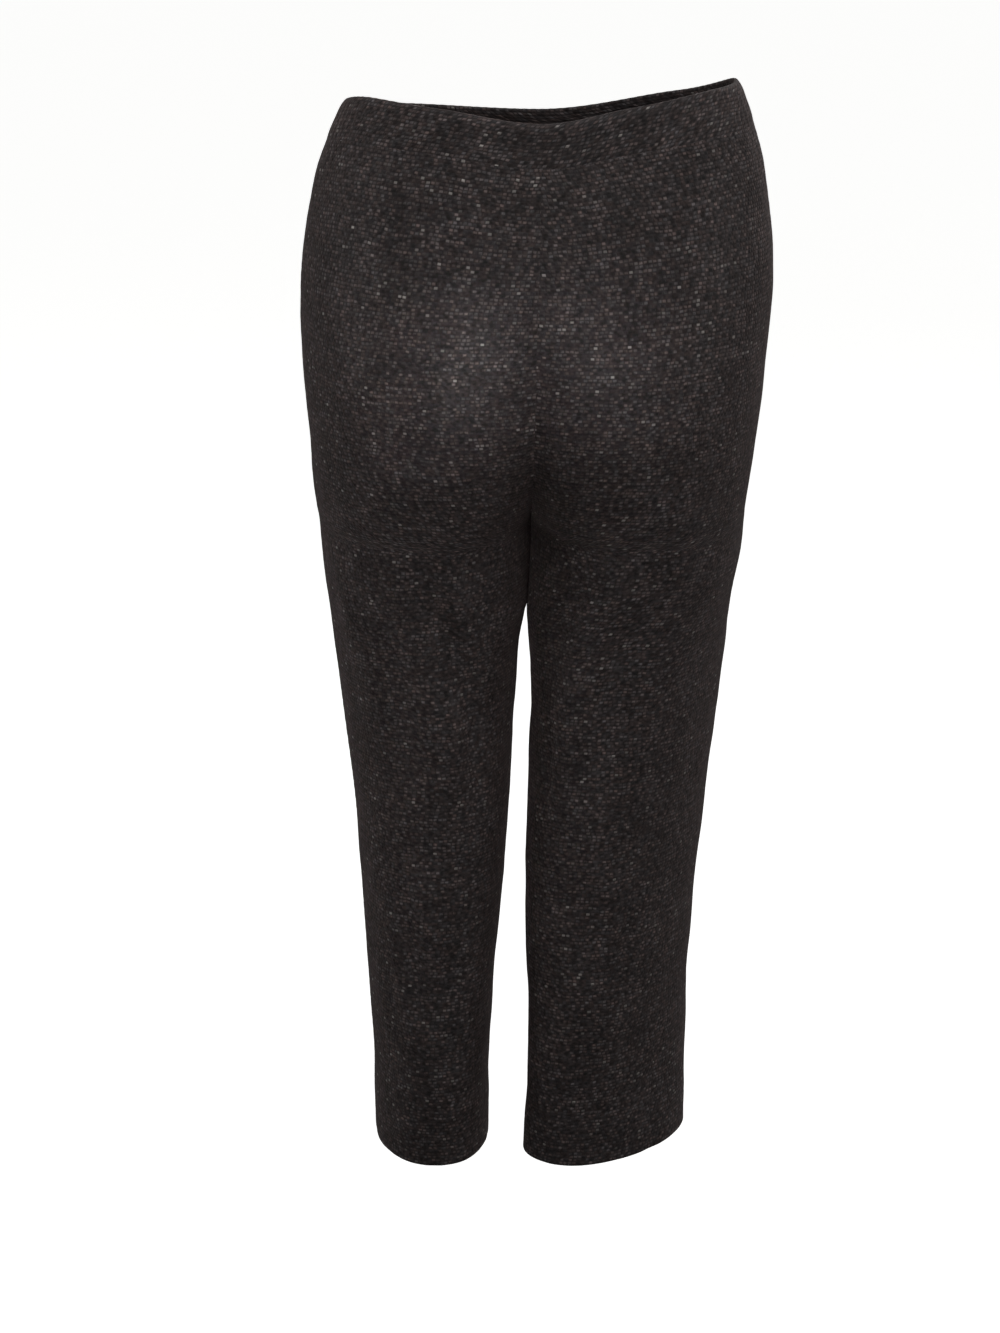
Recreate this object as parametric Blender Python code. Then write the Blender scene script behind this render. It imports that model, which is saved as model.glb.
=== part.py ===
"""Pull-on capri pants in a dark glitter knit, filled out as when they are worn.

Four panels are cut and sewn: a front and a back for each leg. Each panel runs from the waistband
to the hem. Its straight edge is half of a side seam. Its other edge is half of the centre seam
down to the crotch, and half of the inseam below it. A waistband, folded over an elastic, closes
the top. The wearer stands with the right hip raised and the right leg turned out.

Metres, +Z up. The origin is the middle of the waist opening, and the front faces -Y.
"""

import math

import bpy
import numpy as np

# Driving dimensions of the garment.
OUTSEAM = 0.856  # waist edge to hem, down the side
CROTCH_DROP = 0.33  # waist edge to crotch point, measured straight down
WAIST_HALF_WIDTH = 0.1476
WAIST_HALF_DEPTH = 0.105
BAND_HEIGHT = 0.032  # the waistband, folded over its elastic
BAND_PROUD = 0.0006  # how far the waistband stands out from the panels
BAND_THICKNESS = 0.0036  # two layers of knit with the elastic between
WALL = 0.0018  # one layer of knit
HEM_DEPTH = 0.028  # cloth turned up inside at the hem
HEM_EXTRA = 0.0010  # what the turned-up layer adds to the wall
SEAM_GAP = 0.0003  # between two pieces along a seam
SQUARENESS = 2.15  # exponent of the rounded sections, 2 for an ellipse

# How finely the solids are divided.
BACK_COLUMNS = 25
FRONT_COLUMNS = 19
WAISTBAND_COLUMNS = 88
DENSE_POINTS = 241  # points read along a section before they are spaced evenly
STEP_IN_HEM = 0.0006  # height over which the wall steps out to its turned-up layer
# Rows stand this far above the crotch point, closer together as the centre seam turns under.
ROWS_ABOVE_CROTCH = (0.045, 0.033, 0.024, 0.0165, 0.0105, 0.006, 0.0028)
TORSO_ROWS = 12
LEG_ROWS = 20
CROWDING_STARTS_AT = -0.29  # a panel's columns crowd towards the crotch below this height
CROWDING_ENDS_AT = -0.08
MOST_CROWDING = 0.45

LEFT, RIGHT = 1.0, -1.0
FRONT, BACK = -1.0, 1.0

# One row for each level of the filled-out garment, from the waist edge to the hem.
# lean: x of the plane midway between the legs. inner: that plane to a leg's innermost point,
# below zero where the two sides still form one torso. front, back: depth each way from the
# widest line of the section. axis: that plane to the middle of one leg's section, and
# behind: how far back the middle lies. across: half the width of the section, outer half.
# turn: degrees that the section is turned outwards.
SECTION_COLUMNS = (
    "height", "lean", "inner", "front", "back",
    "left_axis", "left_behind", "left_across", "left_turn",
    "right_axis", "right_behind", "right_across", "right_turn",
)
SECTIONS = (
    # height  lean    inner    front  back   axis    behind  across turn axis    behind  across turn
    (0.000, 0.0000, -0.1476, 0.104, 0.106, 0.0000, 0.000, 0.1476, 0, 0.0000, 0.000, 0.1476, 0),
    (-0.030, 0.0010, -0.1472, 0.108, 0.112, 0.0060, 0.000, 0.1555, 0, 0.0060, 0.000, 0.1550, 0),
    (-0.060, 0.0014, -0.1457, 0.111, 0.120, 0.0120, 0.000, 0.1588, 0, 0.0120, 0.000, 0.1580, 0),
    (-0.105, 0.0022, -0.1357, 0.113, 0.130, 0.0210, 0.000, 0.1572, 0, 0.0210, 0.000, 0.1572, 0),
    (-0.145, 0.0036, -0.1206, 0.113, 0.137, 0.0305, 0.000, 0.1503, 0, 0.0305, 0.000, 0.1507, 0),
    (-0.190, 0.0046, -0.0940, 0.112, 0.140, 0.0450, 0.000, 0.1345, 0, 0.0450, 0.000, 0.1345, 0),
    (-0.230, 0.0053, -0.0660, 0.110, 0.1365, 0.0560, 0.000, 0.1210, 0, 0.0560, 0.000, 0.1210, 0),
    (-0.270, 0.0060, -0.0340, 0.107, 0.1295, 0.0665, -0.001, 0.1066, 0, 0.0665, -0.001, 0.1066, 0),
    (-0.300, 0.0066, -0.0145, 0.1055, 0.1225, 0.0735, -0.002, 0.0966, 0, 0.0735, -0.002, 0.0966, 0),
    (-0.318, 0.0069, -0.0050, 0.1046, 0.1185, 0.0768, -0.0025, 0.0913, 0, 0.0768, -0.0025, 0.0913, 0),
    (-0.330, 0.0071, 0.0002, 0.1038, 0.116, 0.0785, -0.003, 0.0880, 0, 0.0787, -0.003, 0.0885, 0),
    (-0.360, 0.0080, 0.0002, 0.1018, 0.1105, 0.0808, -0.004, 0.0824, 0, 0.0822, -0.004, 0.0832, 3),
    (-0.405, 0.0105, 0.0003, 0.098, 0.103, 0.0782, -0.005, 0.0775, 1, 0.0812, -0.005, 0.0795, 14),
    (-0.430, 0.0120, 0.0036, 0.096, 0.0995, 0.0774, -0.005, 0.0740, 2, 0.0823, -0.004, 0.0755, 21),
    (-0.490, 0.0137, 0.0064, 0.0935, 0.094, 0.0748, -0.005, 0.0684, 4, 0.0812, -0.003, 0.0690, 28),
    (-0.575, 0.0172, 0.0069, 0.089, 0.089, 0.0687, -0.002, 0.0616, 5, 0.0790, 0.000, 0.0622, 34),
    (-0.660, 0.0211, 0.0102, 0.086, 0.086, 0.0657, 0.001, 0.0556, 5, 0.0784, 0.004, 0.0566, 36),
    (-0.730, 0.0227, 0.0144, 0.084, 0.084, 0.0649, 0.003, 0.0508, 5, 0.0797, 0.008, 0.0520, 37),
    (-0.800, 0.0251, 0.0153, 0.0815, 0.0815, 0.0622, 0.005, 0.0474, 5, 0.0808, 0.013, 0.0490, 42),
    (-OUTSEAM, 0.0268, 0.0130, 0.080, 0.080, 0.0608, 0.006, 0.0479, 5, 0.0817, 0.018, 0.0510, 45),
)

# How far the waist edge rises or dips, by the angle round the waist from the wearer's left
# side: 90 is the centre back, 180 the right side, 270 the centre front.
WAIST_EDGE_COLUMNS = ("degrees", "rise")
WAIST_EDGE = (
    (0, -0.006), (35, 0.004), (60, 0.001), (90, -0.008), (115, 0.002),
    (150, 0.010), (180, 0.009), (225, -0.011), (270, -0.030), (315, -0.021),
)
WAIST_EDGE_FADES_AT = -0.200  # height where the unevenness of the waist has gone

# The largest folds. Each runs from its upper end to its lower end, and from_side is how far
# each end lies from the side seam, measured along the cloth. out: how far the fold stands
# out, below zero for a trough. reach: half its width.
FOLD_COLUMNS = ("panel", "from_side_top", "from_side_bottom", "top", "bottom", "out", "reach")
FOLDS = (
    ("back_left", 0.152, 0.168, -0.300, -0.500, -0.0042, 0.0140),
    ("back_left", 0.178, 0.170, -0.270, -0.460, 0.0030, 0.0130),
    ("back_left", 0.136, 0.148, -0.390, -0.590, 0.0038, 0.0180),
    ("back_left", 0.088, 0.100, -0.580, -0.760, -0.0030, 0.0170),
    ("back_right", 0.215, 0.155, -0.300, -0.490, -0.0040, 0.0140),
    ("back_right", 0.152, 0.118, -0.420, -0.580, 0.0036, 0.0160),
    ("back_right", 0.156, 0.072, -0.290, -0.530, -0.0044, 0.0170),
    ("back_right", 0.116, 0.070, -0.540, -0.700, -0.0032, 0.0160),
    ("front_left", 0.110, 0.175, -0.210, -0.360, -0.0030, 0.0180),
    ("front_right", 0.110, 0.175, -0.210, -0.360, -0.0030, 0.0180),
)


def monotone(at, knots, values):
    """Smooth curve through the knots that never passes a knot's value between two knots."""
    knots = np.asarray(knots, float)
    values = np.asarray(values, float)
    gaps = np.diff(knots)
    slopes = np.diff(values) / gaps
    tangents = np.empty(len(knots))
    tangents[0], tangents[-1] = slopes[0], slopes[-1]
    for i in range(1, len(knots) - 1):
        before, after = slopes[i - 1], slopes[i]
        same_way = before * after > 0
        tangents[i] = 2 * before * after / (before + after) if same_way else 0.0
    i = np.clip(np.searchsorted(knots, at, side="right") - 1, 0, len(gaps) - 1)
    t = (at - knots[i]) / gaps[i]
    return (
        values[i] * (1 + 2 * t) * (1 - t) ** 2
        + values[i + 1] * t * t * (3 - 2 * t)
        + gaps[i] * tangents[i] * t * (1 - t) ** 2
        + gaps[i] * tangents[i + 1] * t * t * (t - 1)
    )


def smoothstep(t):
    t = np.clip(t, 0.0, 1.0)
    return t * t * (3 - 2 * t)


def section_at(height):
    """The section table read at any height, as a dictionary of its columns."""
    rising = SECTIONS[::-1]
    heights = [row[0] for row in rising]
    return {
        name: float(monotone(height, heights, [row[column] for row in rising]))
        for column, name in enumerate(SECTION_COLUMNS)
    }


def support_to_half_width(reach, depth, turn):
    """Half-width of a section that reaches this far sideways when it is turned."""
    power = SQUARENESS / (SQUARENESS - 1)
    rest = reach**power - (depth * math.sin(turn)) ** power
    return rest ** (1 / power) / math.cos(turn)


def half_section(height, side, facing):
    """Dense points (x, y) of one panel's level, from the side seam to its other edge.

    Also how much longer the whole half of the loop is than the part kept, as a ratio.
    """
    level = section_at(height)
    leg = "left_" if side == LEFT else "right_"
    axis, across = level[leg + "axis"], level[leg + "across"]
    turn = math.radians(level[leg + "turn"])
    depth = level["front"] if facing == FRONT else level["back"]
    inner_across = support_to_half_width(axis - level["inner"], level["back"], turn)
    # Above the crotch the loop is cut off at the plane midway between the legs.
    cut = (axis - SEAM_GAP / 2) / inner_across
    joined = height > -CROTCH_DROP and cut < 1.0
    cosine = -math.copysign(abs(cut) ** (SQUARENESS / 2), cut)
    last = math.acos(cosine) if joined else math.pi

    def curve(t):
        width = np.where(np.cos(t) > 0, across, inner_across)
        x = width * np.sign(np.cos(t)) * np.abs(np.cos(t)) ** (2 / SQUARENESS)
        y = facing * depth * np.abs(np.sin(t)) ** (2 / SQUARENESS)
        turned_x = axis + x * math.cos(turn) - y * math.sin(turn)
        turned_y = x * math.sin(turn) + y * math.cos(turn)
        return np.stack(
            [level["lean"] + side * turned_x, level[leg + "behind"] + turned_y], axis=1
        )

    points = curve(np.linspace(0, last, DENSE_POINTS))
    whole = curve(np.linspace(0, math.pi, DENSE_POINTS))
    return points, length_along(whole)[-1] / length_along(points)[-1]


def length_along(points):
    """Distance along a line of points, from its start to each point."""
    steps = np.linalg.norm(np.diff(points, axis=0), axis=1)
    return np.concatenate([[0], np.cumsum(steps)])


def spaced(points, count, start_gap, end_gap, crowding=0.0):
    """The curve again, as count points that stop short of each end.

    They are evenly spaced, or closer together towards the end when crowding is above zero.
    """
    along = length_along(points)
    share = np.linspace(0, 1, count)
    share = share + crowding * share * (1 - share)
    at = start_gap + share * (along[-1] - start_gap - end_gap)
    return np.stack([np.interp(at, along, points[:, k]) for k in range(2)], axis=1)


def waist_rise(x, y, height):
    """How far the uneven waist edge lifts a point that lies at this height."""
    angle = np.degrees(np.arctan2(y / WAIST_HALF_DEPTH, x / WAIST_HALF_WIDTH)) % 360
    degrees = [row[0] for row in WAIST_EDGE]
    rises = [row[1] for row in WAIST_EDGE]
    knots = [degrees[-1] - 360, *degrees, degrees[0] + 360, degrees[1] + 360]
    values = [rises[-1], *rises, rises[0], rises[1]]
    fade_start = -BAND_HEIGHT
    fade = smoothstep((height - WAIST_EDGE_FADES_AT) / (fade_start - WAIST_EDGE_FADES_AT))
    return monotone(angle, knots, values) * fade


def panel_heights():
    """Heights of a panel's rows, from the waistband down to the hem."""
    top = -BAND_HEIGHT - SEAM_GAP
    crotch = -CROTCH_DROP
    hem_top = -OUTSEAM + HEM_DEPTH
    torso = np.linspace(top, crotch + ROWS_ABOVE_CROTCH[0], TORSO_ROWS)[:-1]
    turning = [crotch + above for above in ROWS_ABOVE_CROTCH]
    leg = np.linspace(crotch, hem_top + STEP_IN_HEM, LEG_ROWS)
    hem = [hem_top, -OUTSEAM + HEM_DEPTH / 2, -OUTSEAM]
    return np.concatenate([torso, turning, leg, hem])


def panel_grid(side, facing, heights, columns):
    """Points of a panel's outer face, row by row, each from the side seam inwards."""
    rows = []
    for height in heights:
        points, ratio = half_section(height, side, facing)
        end_gap = 0.0 if ratio > 1 else SEAM_GAP / 2
        # Columns near the side seam run straight past the crotch, so they crowd above it.
        fade = smoothstep((CROWDING_ENDS_AT - height) / (CROWDING_ENDS_AT - CROWDING_STARTS_AT))
        crowding = min(ratio - 1, MOST_CROWDING) * fade
        flat = spaced(points, columns, SEAM_GAP / 2, end_gap, crowding)
        lifted = height + waist_rise(flat[:, 0], flat[:, 1], height)
        rows.append(np.column_stack([flat, lifted]))
    return np.array(rows)


def grid_normals(grid, outwards):
    """Unit normals of a grid. outwards is 1 or -1, whichever makes them face out."""
    down = np.gradient(grid, axis=0)
    along = np.gradient(grid, axis=1)
    normals = np.cross(along, down) * outwards
    return normals / np.linalg.norm(normals, axis=2, keepdims=True)


def fold_offsets(name, grid, heights):
    """How far each point of a panel stands out because of the folds that cross it."""
    from_side = np.array([length_along(row) for row in grid])
    offsets = np.zeros(grid.shape[:2])
    for fold in FOLDS:
        row = dict(zip(FOLD_COLUMNS, fold))
        if row["panel"] != name:
            continue
        down = np.clip((row["top"] - heights) / (row["top"] - row["bottom"]), 0, 1)
        run = row["from_side_bottom"] - row["from_side_top"]
        away = from_side - (row["from_side_top"] + run * down)[:, None]
        strength = np.sin(math.pi * down) ** 2
        offsets += row["out"] * strength[:, None] * np.exp(-((away / row["reach"]) ** 2))
    return offsets


def wall_thickness(heights):
    turned_up = heights < -OUTSEAM + HEM_DEPTH + STEP_IN_HEM / 2
    return WALL + HEM_EXTRA * turned_up


def object_from(name, points, faces, colour, roughness):
    """A named object with its own cloth material."""
    mesh = bpy.data.meshes.new(name)
    mesh.from_pydata([tuple(p) for p in points], [], faces)
    mesh.validate()
    mesh.shade_smooth()
    mesh.set_sharp_from_angle(angle=math.radians(40))
    material = bpy.data.materials.new("knit_" + name)
    material.use_nodes = True
    shader = material.node_tree.nodes["Principled BSDF"]
    shader.inputs["Base Color"].default_value = (*colour, 1.0)
    shader.inputs["Roughness"].default_value = roughness
    shader.inputs["Metallic"].default_value = 0.0
    mesh.materials.append(material)
    made = bpy.data.objects.new(name, mesh)
    bpy.context.scene.collection.objects.link(made)
    return made


def closed_wall(outer, inner, flip):
    """Points and faces of the wall between two grids of the same size."""
    rows, columns = outer.shape[:2]
    count = rows * columns

    def at(row, column, layer):
        return layer * count + row * columns + column

    faces = []
    for row in range(rows - 1):
        for column in range(columns - 1):
            for layer in (0, 1):
                quad = [
                    at(row, column, layer),
                    at(row + 1, column, layer),
                    at(row + 1, column + 1, layer),
                    at(row, column + 1, layer),
                ]
                faces.append(quad if layer == 0 else quad[::-1])
    border = (
        [(0, column) for column in range(columns)]
        + [(row, columns - 1) for row in range(1, rows)]
        + [(rows - 1, column) for column in range(columns - 2, -1, -1)]
        + [(row, 0) for row in range(rows - 2, 0, -1)]
    )
    for here, after in zip(border, border[1:] + border[:1]):
        faces.append([at(*here, 0), at(*after, 0), at(*after, 1), at(*here, 1)])
    if flip:
        faces = [face[::-1] for face in faces]
    return np.concatenate([outer.reshape(-1, 3), inner.reshape(-1, 3)]), faces


def make_panel(name, side, facing):
    """One front or back panel, from the waistband to the hem."""
    heights = panel_heights()
    columns = BACK_COLUMNS if facing == BACK else FRONT_COLUMNS
    grid = panel_grid(side, facing, heights, columns)
    outwards = -side * facing
    normals = grid_normals(grid, outwards)
    outer = grid + normals * fold_offsets(name, grid, heights)[:, :, None]
    normals = grid_normals(outer, outwards)
    inner = outer - normals * wall_thickness(heights)[:, None, None]
    points, faces = closed_wall(outer, inner, flip=side * facing < 0)
    return object_from(name, points, faces, KNIT_COLOUR, KNIT_ROUGHNESS)


def waist_loop(height, count):
    """Points round the whole waist at one height, evenly spaced, from the left side to the back."""
    back_left, _ = half_section(height, LEFT, BACK)
    back_right, _ = half_section(height, RIGHT, BACK)
    front_right, _ = half_section(height, RIGHT, FRONT)
    front_left, _ = half_section(height, LEFT, FRONT)
    loop = np.concatenate([back_left, back_right[::-1], front_right, front_left[::-1]])
    apart = np.linalg.norm(np.diff(loop, axis=0), axis=1) > 1e-7
    loop = loop[np.concatenate([[True], apart])]
    return spaced(loop, count + 1, 0.0, 0.0)[:-1]


def make_waistband():
    """The casing: a closed ring, rounded over at the top where the knit folds over the elastic."""
    rounding = BAND_THICKNESS / 2
    middle = BAND_PROUD - rounding
    # Points of the band's cross-section: how far out, and how far below the waist edge.
    profile = [(BAND_PROUD, BAND_HEIGHT), (BAND_PROUD, BAND_HEIGHT / 2), (BAND_PROUD, rounding)]
    for degrees in (45, 90, 135):
        angle = math.radians(degrees)
        profile.append(
            (middle + rounding * math.cos(angle), rounding * (1 - math.sin(angle)))
        )
    inside = BAND_PROUD - BAND_THICKNESS
    profile += [(inside, rounding), (inside, BAND_HEIGHT / 2), (inside, BAND_HEIGHT)]
    rings = []
    for out, below in profile:
        flat = waist_loop(-below, WAISTBAND_COLUMNS)
        tangent = np.roll(flat, -1, axis=0) - np.roll(flat, 1, axis=0)
        outward = np.stack([tangent[:, 1], -tangent[:, 0]], axis=1)
        outward /= np.linalg.norm(outward, axis=1, keepdims=True)
        lifted = -below + waist_rise(flat[:, 0], flat[:, 1], -below)
        rings.append(np.column_stack([flat + outward * out, lifted]))
    points = np.concatenate(rings)
    faces = []
    for ring in range(len(rings)):
        following = (ring + 1) % len(rings)
        for column in range(WAISTBAND_COLUMNS):
            beside = (column + 1) % WAISTBAND_COLUMNS
            faces.append([
                ring * WAISTBAND_COLUMNS + column,
                ring * WAISTBAND_COLUMNS + beside,
                following * WAISTBAND_COLUMNS + beside,
                following * WAISTBAND_COLUMNS + column,
            ])
    return object_from("waistband", points, faces, BAND_COLOUR, KNIT_ROUGHNESS)


# Colours are linear. The knit is a warm black.
KNIT_COLOUR = (0.032, 0.026, 0.026)
BAND_COLOUR = (0.036, 0.029, 0.029)
KNIT_ROUGHNESS = 0.75

PANELS = (
    ("back_left", LEFT, BACK),
    ("back_right", RIGHT, BACK),
    ("front_left", LEFT, FRONT),
    ("front_right", RIGHT, FRONT),
)


def main():
    for old in list(bpy.data.objects):
        bpy.data.objects.remove(old)
    waist = bpy.data.objects.new("waist_opening", None)
    bpy.context.scene.collection.objects.link(waist)
    pieces = [make_waistband()] + [make_panel(*panel) for panel in PANELS]
    for piece in pieces:
        piece.parent = waist


main()
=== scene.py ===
"""The looks of a pair of pull-on capri pants in dark glitter knit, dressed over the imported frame.

Metres, +Z up. The front faces -Y. The camera stands behind the wearer.
"""
import math

import bmesh
import bpy
import numpy as np
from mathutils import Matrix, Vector


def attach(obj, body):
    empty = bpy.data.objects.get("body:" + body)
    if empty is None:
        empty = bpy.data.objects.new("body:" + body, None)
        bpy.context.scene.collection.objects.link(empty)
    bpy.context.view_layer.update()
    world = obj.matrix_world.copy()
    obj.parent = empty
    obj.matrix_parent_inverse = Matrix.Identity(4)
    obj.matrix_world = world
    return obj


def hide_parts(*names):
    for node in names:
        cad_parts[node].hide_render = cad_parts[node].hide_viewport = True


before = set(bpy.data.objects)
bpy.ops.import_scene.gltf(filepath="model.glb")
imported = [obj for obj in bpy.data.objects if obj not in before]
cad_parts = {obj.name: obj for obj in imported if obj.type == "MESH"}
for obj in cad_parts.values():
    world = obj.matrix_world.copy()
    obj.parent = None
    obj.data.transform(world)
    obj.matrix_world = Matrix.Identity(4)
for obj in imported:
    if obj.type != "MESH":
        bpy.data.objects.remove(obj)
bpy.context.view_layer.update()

scene = bpy.context.scene

# ---------------------------------------------------------------------------------------------
# Camera: behind the wearer, above the waist, looking down at the whole length of the garment.
# A long lens keeps the two legs at their true proportions.
CAMERA_AT = (0.0313, 2.60, 0.40)
CAMERA_PITCH = 18.26  # degrees below the horizon
CAMERA_LENS = 92.79  # mm, on a film 36 mm tall

camera = bpy.data.objects.new("camera", bpy.data.cameras.new("camera"))
camera.data.lens = CAMERA_LENS
camera.location = CAMERA_AT
camera.rotation_euler = (math.radians(90 - CAMERA_PITCH), 0, math.radians(180))
scene.collection.objects.link(camera)
scene.camera = camera

# ---------------------------------------------------------------------------------------------
# The worn shape: the outer face of each cut piece, read back from its solid in the frame as rows
# from the waist down and columns from the side seam in, then smoothed into closely spaced rows.
WELD = 1e-5  # points of a solid closer than this are one point
SEAM_CLEARANCE = 0.00015  # each solid stops this far short of a seam
SEAM_LEFT_OPEN = 0.00003  # and its cloth this far
SHORTEST = 1e-12  # a shorter vector has no direction
EDGE_ANGLE = math.radians(58)  # a wall's rim is sharper than this, and its face nowhere is
ROW_SPACING = 0.0030
DENSE_COLUMNS = 260  # points read across a row before they are spaced for the cloth
SEAM_ROLL = 0.0016  # width over which a seamed edge rolls inwards
SEAM_DIP = 0.00020  # how deep it rolls
ROLL_STEPS = 5
TURN_REACH = 4 * SEAM_ROLL  # how far from a seam the cloth turns towards it
SEAM_SMOOTHINGS = 3  # how often the directions along a seam are evened out

LEFT, RIGHT = 1, -1
FRONT, BACK = -1, 1
PANELS = {
    "back_left": (LEFT, BACK),
    "back_right": (RIGHT, BACK),
    "front_left": (LEFT, FRONT),
    "front_right": (RIGHT, FRONT),
}


def name_of(side, facing):
    """The panel on one side of the wearer, at the front or at the back."""
    return next(name for name, place in PANELS.items() if place == (side, facing))


def welded(node):
    """A node's solid with its separate triangles joined at their corners."""
    solid = bmesh.new()
    solid.from_mesh(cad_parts[node].data)
    bmesh.ops.remove_doubles(solid, verts=solid.verts, dist=WELD)
    return solid


def smooth_patch(start):
    """The faces that are reached from one face without crossing a sharp edge."""
    patch, ahead = {start}, [start]
    while ahead:
        for edge in ahead.pop().edges:
            for other in edge.link_faces:
                if other not in patch and edge.calc_face_angle(0.0) < EDGE_ANGLE:
                    patch.add(other)
                    ahead.append(other)
    return patch


def rim_of(patch):
    """The patch's boundary, as each rim point's two neighbours along it."""
    beside = {}
    for face in patch:
        for edge in face.edges:
            if sum(other in patch for other in edge.link_faces) == 1:
                for here, there in (edge.verts, reversed(edge.verts)):
                    beside.setdefault(here, set()).add(there)
    return beside


def rim_walk(beside, start, towards, stop):
    """Points along the rim from start, first to the neighbour given, up to and with stop."""
    walk = [start, towards]
    while walk[-1] is not stop:
        walk.append(next(v for v in beside[walk[-1]] if v is not walk[-2]))
    return walk


def neighbours_in(patch):
    """The points of a patch, each with the points that share a face with it."""
    near = {}
    for face in patch:
        for vert in face.verts:
            near.setdefault(vert, set()).update(v for v in face.verts if v is not vert)
    return near


def row_below(above, start, near, seen):
    """The row under a row, from its start: each point touches the one above and the one before."""
    row = [start]
    seen.add(start)
    for over in above[1:]:
        row.append(next(v for v in near[over] & near[row[-1]] if v not in seen))
        seen.add(row[-1])
    return row


def points_of(rows):
    """Rows of a solid's points as one array of places."""
    return np.array([[tuple(vert.co) for vert in row] for row in rows])


def panel_points(node, side, facing):
    """Rows and columns of a panel's outer face, starting at the top of its side seam."""
    solid = welded(node)
    outermost = max(solid.faces, key=lambda f: facing * f.calc_center_median().y)
    patch = smooth_patch(outermost)
    beside = rim_of(patch)
    # At a corner of the cut three sharp edges meet. The two highest are the ends of the top edge.
    corners = [
        v for v in beside
        if sum(edge.calc_face_angle(0.0) > EDGE_ANGLE for edge in v.link_edges) >= 3
    ]
    corners = sorted(corners, key=lambda v: v.co.z)[-2:]
    at_side, at_centre = sorted(corners, key=lambda v: -side * v.co.x)
    walks = [rim_walk(beside, at_side, towards, at_centre) for towards in beside[at_side]]
    top_edge, side_edge = sorted(walks, key=len)
    near = neighbours_in(patch)
    rows, seen = [top_edge], set(top_edge)
    while len(seen) < len(near):
        rows.append(row_below(rows[-1], side_edge[len(rows)], near, seen))
    points = points_of(rows)
    solid.free()
    return points


def hermite(points, knots, at):
    """Smooth curve through rows of points at the knots, never past a value between two knots."""
    as_rows = (-1,) + (1,) * (points.ndim - 1)
    gaps = np.diff(knots).reshape(as_rows)
    slopes = np.diff(points, axis=0) / gaps
    tangents = np.gradient(points, knots, axis=0)
    least = 3 * np.minimum(abs(slopes[1:]), abs(slopes[:-1])) * (slopes[1:] * slopes[:-1] > 0)
    tangents[1:-1] = np.clip(tangents[1:-1], -least, least)
    tangents[0], tangents[-1] = slopes[0], slopes[-1]
    i = np.clip(np.searchsorted(knots, at, side="right") - 1, 0, len(knots) - 2)
    t = ((at - knots[i]) / np.diff(knots)[i]).reshape(as_rows)
    return (
        points[i] * (1 + 2 * t) * (1 - t) ** 2
        + points[i + 1] * t * t * (3 - 2 * t)
        + gaps[i] * tangents[i] * t * (1 - t) ** 2
        + gaps[i] * tangents[i + 1] * t * t * (t - 1)
    )


def lengths_along(points, axis):
    """Distance to each point of a grid from its first, along one axis."""
    steps = np.linalg.norm(np.diff(points, axis=axis), axis=-1)
    start = np.zeros_like(np.take(steps, [0], axis=axis))
    return np.concatenate([start, np.cumsum(steps, axis=axis)], axis=axis)


def unit(vectors):
    """Vectors at length 1."""
    return vectors / np.maximum(np.linalg.norm(vectors, axis=-1, keepdims=True), SHORTEST)


def smoothstep(t):
    """0 up to 0, 1 from 1 on, and a smooth rise in between."""
    t = np.clip(t, 0.0, 1.0)
    return t * t * (3 - 2 * t)


def normals_of(grid, outwards):
    """Unit normals of a grid, where outwards is 1 or -1, whichever makes them face out."""
    down = np.gradient(grid, axis=0)
    along = np.gradient(grid, axis=1)
    return unit(np.cross(along, down)) * outwards


read = {name: panel_points(name, *place) for name, place in PANELS.items()}
down_cloth = np.mean([lengths_along(grid, 0).mean(axis=1) for grid in read.values()], axis=0)
CLOTH_LENGTH = down_cloth[-1]  # waistband to hem edge
HEM_FOLD = 0.0013  # radius of the fold at the hem edge
roll_angles = np.radians(np.linspace(90, 0, ROLL_STEPS + 1))
ROLL_AWAY = SEAM_ROLL * (1 - np.sin(roll_angles))  # distance from the seam of each step
ROLL_DEPTH = SEAM_DIP * (1 - np.cos(roll_angles))  # and how deep it lies, ending at zero
last_row = CLOTH_LENGTH - HEM_FOLD
row_count = round((last_row - SEAM_ROLL) / ROW_SPACING)
row_at = np.concatenate([ROLL_AWAY[:-1], np.linspace(SEAM_ROLL, last_row, row_count)])

worn = {}
for name in PANELS:
    rows = hermite(read[name], down_cloth, row_at)
    across = lengths_along(rows, 1).mean(axis=0)
    dense = np.linspace(0, across[-1], DENSE_COLUMNS)
    worn[name] = hermite(rows.swapaxes(0, 1), across, dense).swapaxes(0, 1)

# The crotch is where a back and a front of one leg first meet at their inner edges.
MEETING = 0.0015  # closer than this they meet
apart = np.linalg.norm(worn["back_left"][:, -1] - worn["front_left"][:, -1], axis=1)
CROTCH_ROW = int(np.argmax(apart < MEETING))

# Below the crotch the thighs press together, and the cloth of both is flattened where they touch.
PARTED = 0.396  # how far down they touch
PARTING = 0.012  # and how much further down each has its own round form again
FLATTENED = 0.030  # how far from where they touch, across the wearer
PRESSED_IN = 0.002  # how far each would reach past the middle, were it not for the other
PRESSED_BELOW = 0.015  # how far below the crotch they press that hard
levels = -worn["back_left"][CROTCH_ROW:, -1, 2]


def inmost_of(side):
    """How far across the inmost line of a leg lies, at each level below the crotch."""
    leg = np.hstack([worn[name][CROTCH_ROW:] for name, place in PANELS.items() if place[0] == side])
    inmost_points = leg[np.arange(len(leg)), np.argmin(side * leg[:, :, 0], axis=1)]
    downwards = inmost_points[np.argsort(-inmost_points[:, 2])]
    return np.interp(levels, -downwards[:, 2], downwards[:, 0])


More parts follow.
